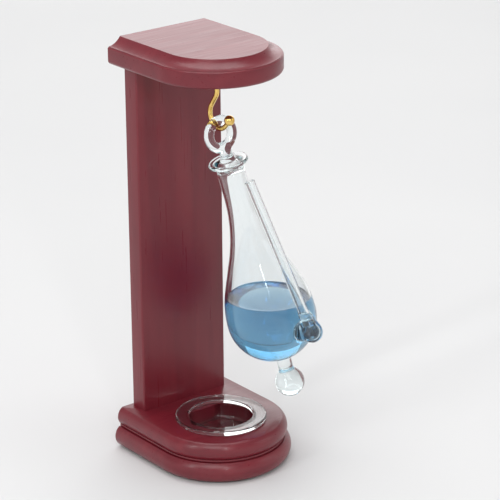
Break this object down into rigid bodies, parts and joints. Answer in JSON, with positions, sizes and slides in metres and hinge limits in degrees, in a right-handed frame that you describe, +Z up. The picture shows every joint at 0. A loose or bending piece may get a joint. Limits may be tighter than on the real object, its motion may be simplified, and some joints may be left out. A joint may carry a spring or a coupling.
{
  "type": "hanging teardrop weather glass on a stand",
  "caption": "Glass teardrop water barometer half full of blue liquid, hung from a brass hook on a lacquered wooden stand with a clear drip cup.",
  "frame": {"origin": "on the underside of the base, below the centre of the rounded front", "axes": "+Z up, +X to the right seen from the front, -Y out of the rounded front, with the back board towards +Y"},
  "size_m": [0.1007, 0.1088, 0.26],
  "materials": {
    "mahogany": "satin lacquer",
    "dowel_wood": "bare",
    "felt": "matte",
    "screw_steel": "zinc plated",
    "polished_brass": "polished",
    "clear_glass": "clear",
    "clear_acrylic": "clear",
    "blue_liquid": "clear tinted water"
  },
  "bodies": {
    "stand": {"base_felt": "felt", "base_lower": "mahogany", "base_upper": "mahogany", "base_screws": "screw_steel", "back_board": "mahogany", "top_board": "mahogany", "top_dowels": "dowel_wood", "cup_hook": "polished_brass"},
    "weather_glass": {"glass_ring": "clear_glass", "glass_bulb": "clear_glass", "glass_spout": "clear_glass", "glass_finial": "clear_glass", "spout_liquid": "blue_liquid"},
    "liquid": {"bulb_liquid": "blue_liquid"},
    "cup": {"drip_cup": "clear_acrylic"}
  },
  "joints": [
    {"name": "glass_swing", "type": "hinge", "parent": "stand", "child": "weather_glass", "pos_m": [0, -0.0034, 0.2104], "axis": [-0.3649, -0.9311, 0], "range_deg": [-26, 5]},
    {"name": "liquid_level", "type": "hinge", "parent": "weather_glass", "child": "liquid", "pos_m": [0.0279, -0.01434, 0.09493], "axis": [-0.3649, -0.9311, 0], "range_deg": [-5, 26]},
    {"name": "cup_lift", "type": "slide", "parent": "stand", "child": "cup", "axis": [0, 0, 1], "range_m": [0, 0.006]}
  ],
  "couplings": [
    {"joint": "liquid_level", "follows": "glass_swing", "ratio": -1}
  ]
}
